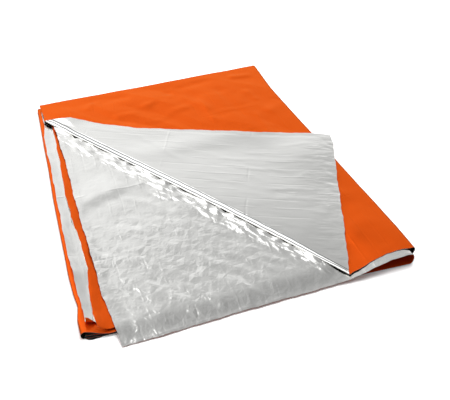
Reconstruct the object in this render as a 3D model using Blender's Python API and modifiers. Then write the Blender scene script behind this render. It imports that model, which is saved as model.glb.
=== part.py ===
"""Emergency foil blanket: one sheet of orange and silver film, folded to eight layers, a corner turned back.

The sheet is drawn flat as a grid, scored where its corner turns back, and folded by fold_sheet. Metres, +Z up.
x runs left to right, y from the open front edges (0) to the back fold (DEPTH), z up from the ground.

The sheet is first folded in half along its length, at the back fold, orange outside. The doubled strip then
runs left to right on top, down round the right bend, back along the ground, up round the left bend, and
doubles once more inside. Layers count from the top: 1 and 2 are the top run, 8 and 7 the bottom run, 5 and 6
the run that comes back from the left bend, 4 and 3 the last run, whose free end shows at the left.
"""

import math
from collections import namedtuple

import bmesh
import bpy
import numpy as np

SHEET = 0.001            # thickness of the modelled film
DEPTH = 0.70             # half of the sheet's width, front edges to back fold
WIDTH = 0.534            # quarter of the sheet's length, left free edge to the right bend's outside
PITCH_BACK = 0.0022      # spacing of the layers at the back
PITCH_FRONT = 0.0017     # spacing of the layers at the front, where they lie closer
PITCH_RUN = 0.25         # how far from the front the spacing widens
LAYERS = 8
NAMES = {1: "first", 2: "second", 3: "third", 4: "fourth", 5: "fifth", 6: "sixth", 7: "seventh", 8: "eighth"}
FRONT_LINE = -0.006      # where the arch and the droop start, just past the front edges

BEND = 3 * PITCH_BACK * math.pi          # length of film in the right bend
SMALL_BEND = PITCH_BACK * math.pi        # length of film in each of the two tight bends
TURN = PITCH_BACK * math.pi / 2          # length of film in the back fold
RUN = WIDTH - 3.5 * PITCH_BACK           # flat length of one layer, free edge to bend
INNER_SETBACK = 0.003                    # of the innermost bend from the bend round it

# The corner turns back over the ridge, a line across the top layer.
RIDGE_LEFT = np.array([0.000, 0.630])    # on the left free edge
RIDGE_FRONT = np.array([0.402, -0.004])  # on the front free edge
RIDGE_STEPS = 4                          # flats round the ridge
FLAP_GAP = 0.0038                        # from the top layer to the turned corner that lies on it
FLAP_SETTLE = 0.055                      # length over which the turned film comes down from the ridge
FLAP_SCORES = (0.012, 0.028, 0.050)      # further scores beyond the ridge

# Radius of the turned film along the ridge, from its left end to its front end, where it is pinched.
Ridge = namedtuple("Ridge", "share radius")
RIDGE = (Ridge(0.0, 0.0045), Ridge(0.15, 0.0058), Ridge(0.5, 0.0062), Ridge(0.85, 0.0050), Ridge(1.0, 0.0022))
SCORED_RADIUS = 0.0056                   # radius that the scores are spaced for

MIDDLE = (0.2528, 0.3485)                # centre of the folded outline, which is the part's origin

# Left edges of layers 2 to 4, each further out than the one above, and the outside of the left bend.
Left = namedtuple("Left", "y second third fourth bend depth")
LEFT_EDGES = (
    Left(0.000, 0.0070, -0.0210, -0.0350, -0.0485, 0.0065),
    Left(0.035, 0.0060, -0.0210, -0.0350, -0.0480, 0.0065),
    Left(0.070, 0.0030, -0.0190, -0.0345, -0.0415, 0.0055),
    Left(0.100, 0.0010, -0.0140, -0.0340, -0.0425, 0.0042),
    Left(0.140, 0.0030, -0.0085, -0.0330, -0.0415, 0.0034),
    Left(0.200, 0.0050, -0.0060, -0.0320, -0.0380, 0.0033),
    Left(0.280, 0.0060, -0.0080, -0.0270, -0.0340, 0.0033),
    Left(0.370, 0.0090, -0.0050, -0.0220, -0.0290, 0.0033),
    Left(0.460, 0.0140, 0.0030, -0.0160, -0.0220, 0.0033),
    Left(0.550, 0.0150, 0.0090, -0.0130, -0.0170, 0.0033),
    Left(0.620, 0.0150, 0.0130, -0.0030, -0.0120, 0.0033),
    Left(0.700, 0.0140, 0.0120, 0.0010, -0.0070, 0.0033),
)

# Outsides of the right bend's two films, and how deep each is: they stand apart at the open front.
Right = namedtuple("Right", "y outer outer_depth inner inner_depth")
RIGHT_BEND = (
    Right(0.000, 0.5375, 0.0085, 0.5260, 0.0060), Right(0.030, 0.5380, 0.0085, 0.5290, 0.0060),
    Right(0.080, 0.5390, 0.0082, 0.5350, 0.0058), Right(0.140, 0.5400, 0.0080, 0.5375, 0.0056),
    Right(0.230, 0.5380, 0.0077, 0.5358, 0.0055), Right(0.300, 0.5360, 0.0077, 0.5338, 0.0055),
    Right(0.400, 0.5340, 0.0077, 0.5318, 0.0055), Right(0.480, 0.5310, 0.0077, 0.5288, 0.0055),
    Right(0.590, 0.5280, 0.0077, 0.5258, 0.0055), Right(0.700, 0.5340, 0.0077, 0.5318, 0.0055),
)

# Front edges of the layers under the top one, as y at each x, and the back fold.
Front = namedtuple("Front", "x second third fourth fifth sixth seventh eighth back")
FRONT_EDGES = (
    Front(-0.050, -0.005, 0.056, 0.050, 0.0290, 0.0400, 0.0350, 0.0310, 0.700),
    Front(-0.042, -0.005, 0.052, 0.046, 0.0250, 0.0400, 0.0330, 0.0265, 0.700),
    Front(-0.036, -0.005, 0.048, 0.041, 0.0238, 0.0400, 0.0320, 0.0236, 0.700),
    Front(-0.022, -0.005, 0.042, 0.033, 0.0230, 0.0400, 0.0300, 0.0230, 0.700),
    Front(-0.009, -0.004, 0.030, 0.036, 0.0225, 0.0400, 0.0280, 0.0220, 0.701),
    Front(0.004, -0.004, 0.027, 0.040, 0.0225, 0.0400, 0.0260, 0.0211, 0.701),
    Front(0.020, -0.005, 0.034, 0.042, 0.0260, 0.0410, 0.0240, 0.0200, 0.701),
    Front(0.060, -0.006, 0.034, 0.044, 0.0300, 0.0420, 0.0220, 0.0179, 0.702),
    Front(0.200, -0.004, 0.038, 0.046, 0.0380, 0.0440, 0.0120, 0.0140, 0.702),
    Front(0.430, -0.006, 0.044, 0.052, 0.0480, 0.0500, -0.0049, 0.0050, 0.704),
    Front(0.455, -0.009, 0.050, 0.056, 0.0520, 0.0520, -0.0064, 0.0050, 0.704),
    Front(0.482, -0.005, 0.054, 0.060, 0.0560, 0.0560, -0.0085, 0.0060, 0.705),
    Front(0.534, -0.007, 0.060, 0.064, 0.0600, 0.0600, -0.0110, 0.0080, 0.706),
)

# Heights of the two top layers at their front edges: lying down at the left, arched open at the right.
Rise = namedtuple("Rise", "x first second")
FRONT_RISE = (
    Rise(0.000, 0.0124, 0.0022), Rise(0.200, 0.0124, 0.0032), Rise(0.380, 0.0124, 0.0044),
    Rise(0.402, 0.0115, 0.0050), Rise(0.430, 0.0155, 0.0075), Rise(0.455, 0.0205, 0.0150),
    Rise(0.482, 0.0240, 0.0190), Rise(0.510, 0.0255, 0.0205), Rise(0.534, 0.0250, 0.0195),
)
ARCH_RUN = 0.24          # how far back the arch reaches
DROOP_RUN = 0.034        # how far back from the edge the under layer starts to come down

# The turned corner's own edges, as how far each stands in from straight.
TurnedLeft = namedtuple("TurnedLeft", "y inset")
TURNED_LEFT = (
    TurnedLeft(0.000, 0.006), TurnedLeft(0.060, 0.002), TurnedLeft(0.150, 0.006), TurnedLeft(0.300, 0.010),
    TurnedLeft(0.420, 0.016), TurnedLeft(0.500, 0.008), TurnedLeft(0.570, -0.006), TurnedLeft(0.630, 0.000),
    TurnedLeft(0.700, 0.000),
)
TurnedFront = namedtuple("TurnedFront", "x inset")
TURNED_FRONT = (
    TurnedFront(0.000, 0.008), TurnedFront(0.040, 0.004), TurnedFront(0.150, 0.002), TurnedFront(0.300, -0.002),
    TurnedFront(0.402, -0.004), TurnedFront(0.455, 0.005), TurnedFront(0.500, 0.006), TurnedFront(0.534, 0.003),
)
EDGE_RUN = 0.050         # how far in an edge's unevenness reaches

# The left bend stands open at the front, and lifts the layers over it.
BULGE = namedtuple("Bulge", "x spread run height")(-0.043, 0.021, 0.11, 0.0112)

# Layer 4's front edge is rolled up and back at its left corner.
ROLL = namedtuple("Roll", "length radius full none")(0.013, 0.0040, -0.031, -0.018)

# Broad swells: of layer 3, which lies over that roll, of the top layer, and of its turned corner.
Swell = namedtuple("Swell", "x y along across height")
THIRD_SWELLS = (Swell(-0.025, 0.043, 0.016, 0.020, 0.0065),)
TOP_SWELLS = (
    Swell(0.150, 0.640, 0.120, 0.040, 0.0020), Swell(0.400, 0.560, 0.060, 0.120, 0.0025),
    Swell(0.470, 0.250, 0.040, 0.110, 0.0015),
)
FLAP_SWELLS = (
    Swell(0.060, 0.612, 0.060, 0.022, 0.0100), Swell(0.250, 0.430, 0.110, 0.030, 0.0020),
    Swell(0.480, 0.330, 0.070, 0.050, 0.0025), Swell(0.400, 0.110, 0.040, 0.080, 0.0015),
)

# Grid lines of the flat sheet: along the top run from its left edge, along each hidden run from its left
# edge, and across each half from its front edge. They are closer where the film bends most.
TOP_COLUMNS = (
    0.0, 0.025, 0.055, 0.090, 0.130, 0.170, 0.210, 0.250, 0.290, 0.330, 0.365, 0.388, 0.404, 0.420, 0.437,
    0.456, 0.478, 0.502, RUN,
)
HIDDEN_COLUMNS = (0.0, 0.006, 0.012, 0.019, 0.027, 0.037, 0.055, 0.120, 0.250, 0.390, RUN)
ROWS = (
    0.0, 0.010, 0.022, 0.036, 0.055, 0.080, 0.115, 0.165, 0.230, 0.305, 0.380, 0.455, 0.525, 0.585, 0.635, 0.675,
    DEPTH,
)
BEND_STEPS = 5
SMALL_BEND_STEPS = 4
TURN_STEPS = 3


def ease(t):
    """A step from 0 to 1 with level ends."""
    t = np.clip(t, 0.0, 1.0)
    return t * t * (3.0 - 2.0 * t)


def read(table, key, value, at):
    """A table's value column at the places `at` of its key column, straight between rows."""
    return np.interp(at, [getattr(row, key) for row in table], [getattr(row, value) for row in table])


def swells(table, x, y):
    """Height of a table of broad swells at a place."""
    height = np.zeros_like(x)
    for s in table:
        height += s.height * np.exp(-((x - s.x) / s.along) ** 2 - ((y - s.y) / s.across) ** 2)
    return height


def height(layer, x, y):
    """Mid-height of a layer at a place: its level in the stack, with the arch, the droop and the bulge."""
    pitch = PITCH_FRONT + (PITCH_BACK - PITCH_FRONT) * ease(y / PITCH_RUN)
    z = SHEET / 2 + (LAYERS - layer) * pitch
    if layer <= 2:
        rise = read(FRONT_RISE, "x", NAMES[layer], x) - (SHEET / 2 + (LAYERS - layer) * PITCH_FRONT)
        reach = np.where(rise > 0, ARCH_RUN, DROOP_RUN)
        z = z + rise * (1.0 - ease((y - FRONT_LINE) / reach))
    if layer in (1, 3):
        z = z + swells(TOP_SWELLS if layer == 1 else THIRD_SWELLS, x, y)
    if layer <= 5:
        z = z + BULGE.height * np.exp(-((x - BULGE.x) / BULGE.spread) ** 2) * (1.0 - ease(y / BULGE.run))
    return z


def turn_corner(x, y):
    """Fold the top layer's front left corner back over the ridge: new x, y and z."""
    line = RIDGE_FRONT - RIDGE_LEFT
    reach = np.hypot(*line)
    ux, uy = line / reach
    along = (x - RIDGE_LEFT[0]) * ux + (y - RIDGE_LEFT[1]) * uy
    out = (x - RIDGE_LEFT[0]) * uy - (y - RIDGE_LEFT[1]) * ux
    radius = read(RIDGE, "share", "radius", along / reach)
    start = out + radius
    angle = np.clip(start / radius, 0.0, math.pi)
    beyond = np.maximum(start - math.pi * radius, 0.0)
    place = np.where(start < 0, out, -radius + radius * np.sin(angle) - beyond)
    settled = ease(beyond / FLAP_SETTLE)
    lift = radius * (1.0 - np.cos(angle))
    lift = lift + (FLAP_GAP - 2.0 * radius) * np.where(beyond > 0, settled, 0.0)
    px = RIDGE_LEFT[0] + along * ux + place * uy
    py = RIDGE_LEFT[1] + along * uy - place * ux
    z = height(1, np.minimum(px, WIDTH), py) + lift + swells(FLAP_SWELLS, px, py) * ease(beyond / 0.02)
    return px, py, z


def top_point(q, w):
    """Place of the top layer's film, whose corner is turned back."""
    y = DEPTH * (1.0 - w)
    x = RUN * q
    bend = read(RIGHT_BEND, "y", "outer", y) - read(RIGHT_BEND, "y", "outer_depth", y)
    x = x + (bend - RUN) * ease((x - RIDGE_FRONT[0]) / (RUN - RIDGE_FRONT[0]))
    y = y + (read(FRONT_EDGES, "x", "back", x) - DEPTH) * ease(y / DEPTH)
    inset_left = read(TURNED_LEFT, "y", "inset", y) * (1.0 - ease(RUN * q / EDGE_RUN))
    inset_front = read(TURNED_FRONT, "x", "inset", x) * (1.0 - ease(y / EDGE_RUN))
    return np.stack(turn_corner(x + inset_left, y + inset_front), axis=-1)


def left_edge(layer, y):
    """Where a layer's film starts at the left: at its free edge, or at the bend that layers 5 to 8 share."""
    if layer <= 4:
        return read(LEFT_EDGES, "y", NAMES[layer], y)
    bend = read(LEFT_EDGES, "y", "bend", y)
    depth = read(LEFT_EDGES, "y", "depth", y)
    return bend + depth + (PITCH_BACK / 2 if layer in (6, 7) else 0.0)


def right_edge(layer, y):
    """Where a layer's film meets the bend at the right."""
    film = "outer" if layer == 8 else "inner"
    bend = read(RIGHT_BEND, "y", film, y) - read(RIGHT_BEND, "y", film + "_depth", y)
    return bend - (INNER_SETBACK if 3 <= layer <= 6 else 0.0)


def layer_point(layer, q, w):
    """Place of a layer's film. q runs 0 to 1 from the left edge to the bend, w 0 to 1 from the back fold to the
    front edge."""
    if layer == 1:
        return top_point(q, w)
    y = DEPTH * (1.0 - w)
    x = left_edge(layer, y) * (1.0 - q) + right_edge(layer, y) * q
    back = read(FRONT_EDGES, "x", "back", x)
    y = back + (read(FRONT_EDGES, "x", NAMES[layer], x) - back) * w
    z = height(layer, x, y)
    if layer == 4:
        edge = y - read(FRONT_EDGES, "x", "fourth", x)
        rolled = 1.0 - ease((x - ROLL.full) / (ROLL.none - ROLL.full))
        angle = np.maximum(ROLL.length - edge, 0.0) / ROLL.radius * rolled
        y = np.where(angle > 0, y + np.maximum(ROLL.length - edge, 0.0) - ROLL.radius * np.sin(angle), y)
        z = z + ROLL.radius * (1.0 - np.cos(angle))
    return np.stack([x, y, z], axis=-1)


def bend_point(upper, lower, side, turn, w):
    """Place on the bend that joins two layers at one side, turn 0 to 1 from the upper to the lower layer."""
    edge = np.full_like(w, 1.0 if side > 0 else 0.0)
    a = layer_point(upper, edge, w)
    b = layer_point(lower, edge, w)
    depth = (a[:, 2] - b[:, 2]) / 2
    if (upper, lower) == (1, 8):
        depth = read(RIGHT_BEND, "y", "outer_depth", a[:, 1])
    if (upper, lower) == (2, 7):
        depth = read(RIGHT_BEND, "y", "inner_depth", a[:, 1])
    if (upper, lower) == (5, 8):
        depth = read(LEFT_EDGES, "y", "depth", a[:, 1])
    angle = (math.pi * turn)[:, None]
    point = (a + b) / 2 + (a - b) / 2 * np.cos(angle)
    point[:, 0] += side * depth * np.sin(angle[:, 0])
    return point


def half_point(half, u, w):
    """Place of one half of the sheet, u along the whole sheet from its left free end."""
    a, b, c, d = ((1, 8, 5, 4), (2, 7, 6, 3))[half]
    stretches = (
        (RUN, lambda f, g: layer_point(a, f, g)),
        (BEND, lambda f, g: bend_point(a, b, 1, f, g)),
        (RUN, lambda f, g: layer_point(b, 1.0 - f, g)),
        (SMALL_BEND, lambda f, g: bend_point(c, b, -1, 1.0 - f, g)),
        (RUN, lambda f, g: layer_point(c, f, g)),
        (SMALL_BEND, lambda f, g: bend_point(d, c, 1, 1.0 - f, g)),
        (RUN, lambda f, g: layer_point(d, 1.0 - f, g)),
    )
    point = np.zeros((len(u), 3))
    start = 0.0
    for length, place in stretches:
        here = (u >= start - 1e-6) & (u <= start + length + 1e-6)
        point[here] = place(np.clip((u[here] - start) / length, 0.0, 1.0), w[here])
        start += length
    return point


def fold_sheet(u, v):
    """Fold the flat sheet: u along it, v across it from the first half's front edge."""
    first = half_point(0, u, np.clip(1.0 - v / DEPTH, 0.0, 1.0))
    second = half_point(1, u, np.clip((v - DEPTH - TURN) / DEPTH, 0.0, 1.0))
    angle = (math.pi * np.clip((v - DEPTH) / TURN, 0.0, 1.0))[:, None]
    fold = (first + second) / 2 + (first - second) / 2 * np.cos(angle)
    fold[:, 1] += PITCH_BACK / 2 * np.sin(angle[:, 0])
    return np.where((v < DEPTH)[:, None], first, np.where((v > DEPTH + TURN)[:, None], second, fold))


def even_steps(length, steps):
    """Places that divide a length into equal steps, both ends included."""
    return [length * n / steps for n in range(steps + 1)]


def flat_sheet():
    """The flat sheet as a grid, its lines closer at the bends and at the front edges."""
    hidden_back = [RUN - x for x in reversed(HIDDEN_COLUMNS)]
    runs = (
        TOP_COLUMNS, even_steps(BEND, BEND_STEPS), hidden_back, even_steps(SMALL_BEND, SMALL_BEND_STEPS),
        HIDDEN_COLUMNS, even_steps(SMALL_BEND, SMALL_BEND_STEPS), hidden_back,
    )
    columns = [0.0]
    for run in runs:
        columns += [columns[-1] + x for x in run[1:]]
    width = 2 * DEPTH + TURN
    rows = list(ROWS) + [DEPTH + y for y in even_steps(TURN, TURN_STEPS)[1:-1]] + [width - y for y in reversed(ROWS)]
    mesh = bmesh.new()
    bmesh.ops.create_grid(mesh, x_segments=len(columns) - 1, y_segments=len(rows) - 1, size=0.5)
    for vertex in mesh.verts:
        column = round((vertex.co.x + 0.5) * (len(columns) - 1))
        row = round((vertex.co.y + 0.5) * (len(rows) - 1))
        vertex.co = (columns[column], rows[row], 0.0)
    return mesh


def score_ridge(mesh):
    """Score the top layer along the ridge and beyond it, so that the turned film bends on its own lines."""
    line = RIDGE_FRONT - RIDGE_LEFT
    ux, uy = line / np.hypot(*line)
    turned = SCORED_RADIUS * math.pi
    scores = [turned * n / RIDGE_STEPS for n in range(RIDGE_STEPS + 1)] + [turned + s for s in FLAP_SCORES]
    for score in scores:
        faces = [f for f in mesh.faces if f.calc_center_median().x < RUN and f.calc_center_median().y < DEPTH]
        edges = list({e for f in faces for e in f.edges})
        verts = list({v for f in faces for v in f.verts})
        offset = score - SCORED_RADIUS
        place = (RIDGE_LEFT[0] + offset * uy, RIDGE_LEFT[1] - offset * ux, 0.0)
        bmesh.ops.bisect_plane(
            mesh, geom=verts + edges + faces, dist=0.0006, plane_co=place, plane_no=(uy, -ux, 0.0)
        )


def blanket(collection):
    """The whole blanket: the scored sheet, folded and given its thickness."""
    sheet = flat_sheet()
    score_ridge(sheet)
    bmesh.ops.triangulate(sheet, faces=sheet.faces[:], quad_method="BEAUTY", ngon_method="BEAUTY")
    flat = np.array([v.co for v in sheet.verts])
    folded = fold_sheet(flat[:, 0], flat[:, 1])
    for vertex, place in zip(sheet.verts, folded):
        vertex.co = place
    mesh = bpy.data.meshes.new("foil_blanket")
    sheet.to_mesh(mesh)
    sheet.free()
    blanket = bpy.data.objects.new("foil_blanket", mesh)
    blanket.location = (-MIDDLE[0], -MIDDLE[1], 0.0)
    solid = blanket.modifiers.new("film", "SOLIDIFY")
    solid.thickness = SHEET
    solid.offset = 0.0
    solid.use_even_offset = True
    collection.objects.link(blanket)
    return blanket


def film_material():
    """Orange film with a metallic sheen."""
    material = bpy.data.materials.new("orange_film")
    material.use_nodes = True
    shader = material.node_tree.nodes["Principled BSDF"]
    shader.inputs["Base Color"].default_value = (0.80, 0.13, 0.02, 1.0)
    shader.inputs["Roughness"].default_value = 0.35
    shader.inputs["Metallic"].default_value = 0.2
    return material


def main():
    for old in list(bpy.data.objects):
        bpy.data.objects.remove(old)
    collection = bpy.data.collections.new("emergency_foil_blanket")
    bpy.context.scene.collection.children.link(collection)
    blanket(collection).data.materials.append(film_material())


main()
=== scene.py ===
import math
from collections import namedtuple

import bpy
import numpy as np
from mathutils import Matrix, Vector


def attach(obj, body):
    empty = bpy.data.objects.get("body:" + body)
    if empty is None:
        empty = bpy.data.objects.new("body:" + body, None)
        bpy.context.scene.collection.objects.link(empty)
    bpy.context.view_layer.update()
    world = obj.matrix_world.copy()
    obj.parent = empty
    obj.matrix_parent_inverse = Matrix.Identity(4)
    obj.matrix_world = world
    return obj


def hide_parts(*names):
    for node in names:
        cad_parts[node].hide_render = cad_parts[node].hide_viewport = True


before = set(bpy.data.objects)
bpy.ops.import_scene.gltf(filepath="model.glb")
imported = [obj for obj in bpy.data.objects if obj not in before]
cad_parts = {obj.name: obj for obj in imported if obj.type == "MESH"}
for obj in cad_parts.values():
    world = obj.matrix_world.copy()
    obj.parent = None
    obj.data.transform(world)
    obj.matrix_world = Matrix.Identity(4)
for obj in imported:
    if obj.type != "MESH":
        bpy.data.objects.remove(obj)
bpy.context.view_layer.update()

# ---- Camera --------------------------------------------------------------------------------------------
# It looks down on the blanket at 40 degrees, from beyond its front left corner.

CAMERA_PLACE = Vector((-0.3375, -0.9979, 0.8329))
CAMERA_DOWN = math.radians(40.25)
CAMERA_AROUND = math.radians(-21.79)
CAMERA_ROLL = math.radians(0.9)
FOCAL_LENGTH = 53.37         # millimetres, as is the sensor's width
SENSOR_WIDTH = 36.0


def add_object(name, data):
    """A new object in the scene."""
    new = bpy.data.objects.new(name, data)
    bpy.context.scene.collection.objects.link(new)
    return new


lens = bpy.data.cameras.new("camera")
lens.sensor_fit = "HORIZONTAL"
lens.sensor_width = SENSOR_WIDTH
lens.lens = FOCAL_LENGTH
camera = add_object("camera", lens)
facing = Matrix.Rotation(CAMERA_AROUND, 4, "Z") @ Matrix.Rotation(math.pi / 2 - CAMERA_DOWN, 4, "X")
camera.matrix_world = Matrix.Translation(CAMERA_PLACE) @ facing @ Matrix.Rotation(CAMERA_ROLL, 4, "Z")
bpy.context.scene.camera = camera

# ---- Blanket -------------------------------------------------------------------------------------------
# One sheet of plastic film, orange on its outer face and metallised on its inner one, cut with plain edges.
# It is folded in half along its length, orange outside, and the doubled strip is zigzagged into a pad of
# eight layers. The top layer's front left corner is turned back over a loose roll, so that silver shows.
#
# Metres, and millimetres in the tables made by in_mm. x runs left to right, y from the open front edges to
# the back fold, z up from the ground. Layers count from the top: 1 and 2 are the top run, 8 and 7 the bottom
# run, 5 and 6 the run back from the left bend, 4 and 3 the last run, whose free end shows at the left.

FILM = 0.00025               # thickness of the film as modelled
STACK_FLOOR = 0.0005         # height of the bottom layer that the stack's spacing counts from
DEPTH = 0.70                 # half of the sheet's width, front edges to back fold
WIDTH = 0.534                # quarter of the sheet's length, left free edge to the right bend's outside
PITCH_BACK = 0.0022          # spacing of the layers at the back
PITCH_FRONT = 0.0017         # spacing of the layers at the front, where they lie closer
PITCH_RUN = 0.25             # how far from the front the spacing widens
NAMES = dict(enumerate("first second third fourth fifth sixth seventh eighth".split(), 1))
FRONT_LINE = -0.006          # where the arch and the droop start, just past the front edges
MIDDLE = (0.2528, 0.3485)    # centre of the folded outline, which is the part's origin

BEND = 3 * PITCH_BACK * math.pi    # length of film in the right bend
SMALL_BEND = PITCH_BACK * math.pi  # length of film in each of the two tight bends
TURN = PITCH_BACK * math.pi / 2    # length of film in the back fold
RUN = WIDTH - 3.5 * PITCH_BACK     # flat length of one layer, free edge to bend
INNER_SETBACK = 0.003              # of the innermost bend from the bend round it


def in_mm(columns, *rows):
    """A table with named columns, from rows in millimetres; shares in it are in thousandths."""
    row_type = namedtuple("Row", columns)
    return [row_type(*[value / 1000 for value in row]) for row in rows]


# The corner turns back over the ridge, a line across the top layer, and comes down to lie on the layer.
RIDGE_LINE = in_mm("x0 y0 x1 y1", (0, 630, 402, -4))[0]
RIDGE_WAY = np.array([RIDGE_LINE.x1 - RIDGE_LINE.x0, RIDGE_LINE.y1 - RIDGE_LINE.y0])
RIDGE_LENGTH = math.hypot(*RIDGE_WAY)
FLAP_GAP = 0.0062            # height at which the turned film comes to lie over the layer
FLAP_SETTLE = 0.200          # length of film that it takes to come down

# Radius of the roll along the ridge, from its left end to its front end, where it is pinched.
RIDGE = in_mm("share radius", (0, 4.5), (150, 5.8), (500, 6.2), (850, 5), (1000, 2.2))

# The roll in section, as radii out and up: round under the nose, a steep flat, a crease, a broad flat, and a
# small step up to the turned film.
ROLL_SECTION = np.array([
    (-1.00, 0.00), (-0.62, 0.03), (-0.30, 0.12), (-0.06, 0.26), (0.07, 0.44), (0.10, 0.62), (0.05, 0.74),
    (-0.38, 1.12), (-0.52, 1.17), (-1.28, 1.52), (-1.36, 1.58), (-1.75, 1.66),
])
SECTION_RUN = np.concatenate([[0.0], np.cumsum(np.hypot(*np.diff(ROLL_SECTION, axis=0).T))])
FIRST_CREASE, SECOND_CREASE = SECTION_RUN[[7, 9]]  # film run to where the roll is pressed into creases

# Left edges of layers 2 to 4, each further out than the one above, and the outside of the left bend.
LEFT_EDGES = in_mm(
    "y second third fourth bend depth",
    (0, 7, -21, -35, -48.5, 6.5), (35, 6, -21, -35, -48, 6.5), (70, 3, -19, -34.5, -41.5, 5.5),
    (100, 1, -14, -34, -42.5, 4.2), (140, 3, -8.5, -33, -41.5, 3.4), (200, 5, -6, -32, -38, 3.3),
    (280, 6, -8, -27, -34, 3.3), (370, 9, -5, -22, -29, 3.3), (460, 14, 3, -16, -22, 3.3),
    (550, 15, 9, -13, -17, 3.3), (620, 15, 13, -3, -12, 3.3), (700, 14, 12, 1, -7, 3.3),
)

# Outsides of the right bend's two films, and how deep each is: they stand apart at the open front.
RIGHT_BEND = in_mm(
    "y outer outer_depth inner inner_depth",
    (0, 537.5, 8.5, 526, 6), (30, 538, 8.5, 529, 6), (80, 539, 8.2, 535, 5.8), (140, 540, 8, 537.5, 5.6),
    (230, 538, 7.7, 535.8, 5.5), (300, 536, 7.7, 533.8, 5.5), (400, 534, 7.7, 531.8, 5.5),
    (480, 531, 7.7, 528.8, 5.5), (590, 528, 7.7, 525.8, 5.5), (700, 534, 7.7, 531.8, 5.5),
)

# Front edges of the layers under the top one, as y at each x, and the back fold.
FRONT_EDGES = in_mm(
    "x second third fourth fifth sixth seventh eighth back",
    (-50, -7, 56, 50, 35, 36.5, 37.2, 37.3, 700), (-42, -7, 52, 46, 33, 33.5, 33, 29, 700),
    (-36, -7, 42, 41, 31.5, 32, 31.2, 23.3, 700), (-22, -7, 33.5, 37.5, 27, 29, 28.5, 24, 700),
    (-9, -6, 29, 40, 22.2, 27, 26.5, 25, 701), (4, -6, 27.5, 41, 22, 27, 26.2, 24.5, 701),
    (20, -7, 34, 42, 24, 41, 24, 22.5, 701), (60, -8, 34, 44, 30, 42, 22, 17.9, 702),
    (200, -7, 38, 46, 38, 44, 12, 14, 702), (430, -10.5, 44, 52, 48, 50, -4.9, 5, 704),
    (455, -9.4, 50, 56, 52, 52, -6.4, 5, 704), (482, -7.2, 54, 60, 56, 56, -8.5, 6, 705),
    (534, -9.5, 60, 64, 60, 60, -11, 8, 706),
)

# Heights of the two top layers at their front edges: lying down at the left, arched open at the right.
FRONT_RISE = in_mm(
    "x first second",
    (0, 12.4, 1.6), (60, 12.4, 3), (200, 12.4, 3.4), (380, 12.4, 4.5), (402, 11.5, 7.5), (430, 15.5, 13.6),
    (455, 20.5, 19.1), (482, 24, 22.7), (510, 25.5, 24), (534, 25, 21.5),
)
# How far the free left edges of layers 2 to 4 stand up off the layer under each.
EDGE_LIFTS = in_mm(
    "y second third fourth",
    (0, 0.4, 0.2, 0), (30, 1, 2.6, 0), (80, 1.4, 4.2, 2), (160, 1.4, 4.8, 3.4), (250, 1.3, 3.8, 3.4),
    (350, 1.2, 2.6, 2.6), (450, 1.2, 2.2, 2.6), (550, 0.8, 1.8, 2.2), (620, 0, 0.8, 1.2), (700, 0, 0, 0),
)
LIFT_RUN = 0.018             # how far in from the edge a lift reaches on layer 2
LOWER_LIFT_RUN = 0.0108      # and on layers 3 and 4
ARCH_RUN = 0.24              # how far back the arch reaches
DROOP_RUN = 0.034            # how far back from the edge the under layer starts to come down

# The turned corner's own edges, as how far each stands in from straight.
TURNED_LEFT = in_mm(
    "y inset",
    (0, 6), (60, 2), (150, 6), (300, 10), (420, 16), (500, 8), (570, -6), (630, 0), (700, 0),
)
TURNED_FRONT = in_mm(
    "x inset",
    (0, 8), (40, 4), (150, 2), (300, -2), (402, -4), (455, 6.2), (500, 7.8), (534, 4.5),
)
EDGE_RUN = 0.050             # how far in an edge's unevenness reaches
LEFT_LIFT = 0.0020           # how far its left edge, now the far one, stands up
FRONT_LIFT = 0.0032          # how far its front edge stands up, near the corner

# The left bend stands open at the front, and lifts the layers over it; layer 4's front edge is rolled up.
BULGE = in_mm("x spread run height", (-43, 21, 75, 11.2))[0]
ROLL = in_mm("length radius full none", (13, 4, -31, -18))[0]

# Broad swells: of layer 3 over that rolled edge, of the top layer, of its turned corner and of layer 4.
SWELL = "x y along across height"
THIRD_SWELLS = in_mm(SWELL, (-25, 43, 16, 20, 6.5))
FOURTH_SWELLS = in_mm(SWELL, (-22, 165, 9, 30, 1.6), (-18, 330, 8, 40, 1), (-28, 240, 6, 30, 1))
TOP_SWELLS = in_mm(SWELL, (150, 640, 120, 40, 2), (400, 560, 60, 120, 2.5), (470, 250, 40, 110, 1.5))
FLAP_SWELLS = in_mm(
    SWELL,
    (60, 612, 60, 22, 3), (250, 430, 110, 30, 2), (480, 330, 70, 50, 2.5), (400, 110, 40, 80, 1.5),
)

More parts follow.
